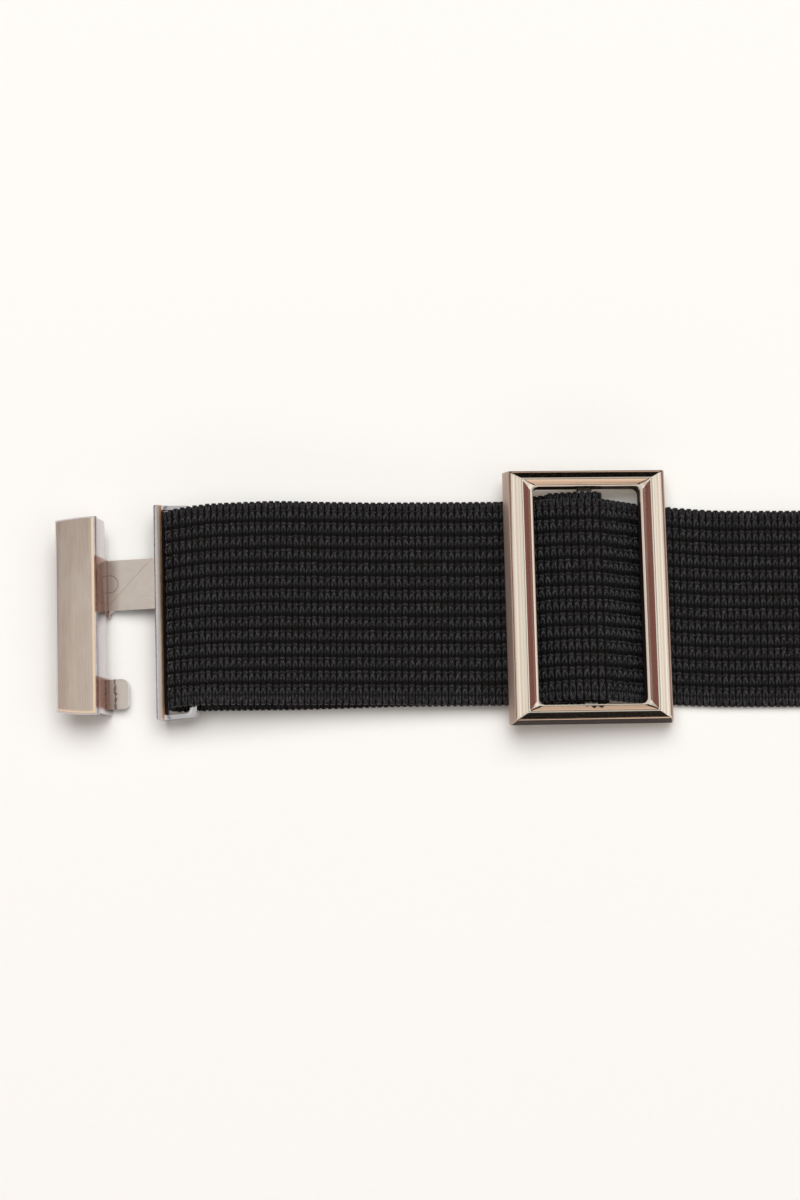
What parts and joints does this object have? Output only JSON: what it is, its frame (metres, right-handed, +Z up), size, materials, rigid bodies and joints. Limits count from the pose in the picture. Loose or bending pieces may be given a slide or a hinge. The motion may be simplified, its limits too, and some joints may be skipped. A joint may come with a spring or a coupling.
{
  "type": "elastic belt with interlocking clasp and slider",
  "caption": "Wide ribbed elastic waist belt, doubled through a metal hook clasp and adjusted by a bevelled rectangular slider, lying flat and open.",
  "frame": {"origin": "on the table, under the middle of the belt's length and width", "axes": "+X along the belt, from the hook clasp to the mating clasp; +Y across it, towards the top of the picture; +Z up off the table"},
  "size_m": [0.6606, 0.0508, 0.0085],
  "materials": {
    "black_elastic": "ribbed knitted elastic, matt black with a faint yarn sheen",
    "polished_gold": "polished pale rose gold plating",
    "brushed_gold": "pale rose gold plating, brushed on the front plate and the neck, polished on the edges"
  },
  "bodies": {
    "root": {"strap": "black_elastic", "slider": "polished_gold", "hook_clasp": "brushed_gold", "mating_clasp": "brushed_gold"}
  },
  "joints": []
}
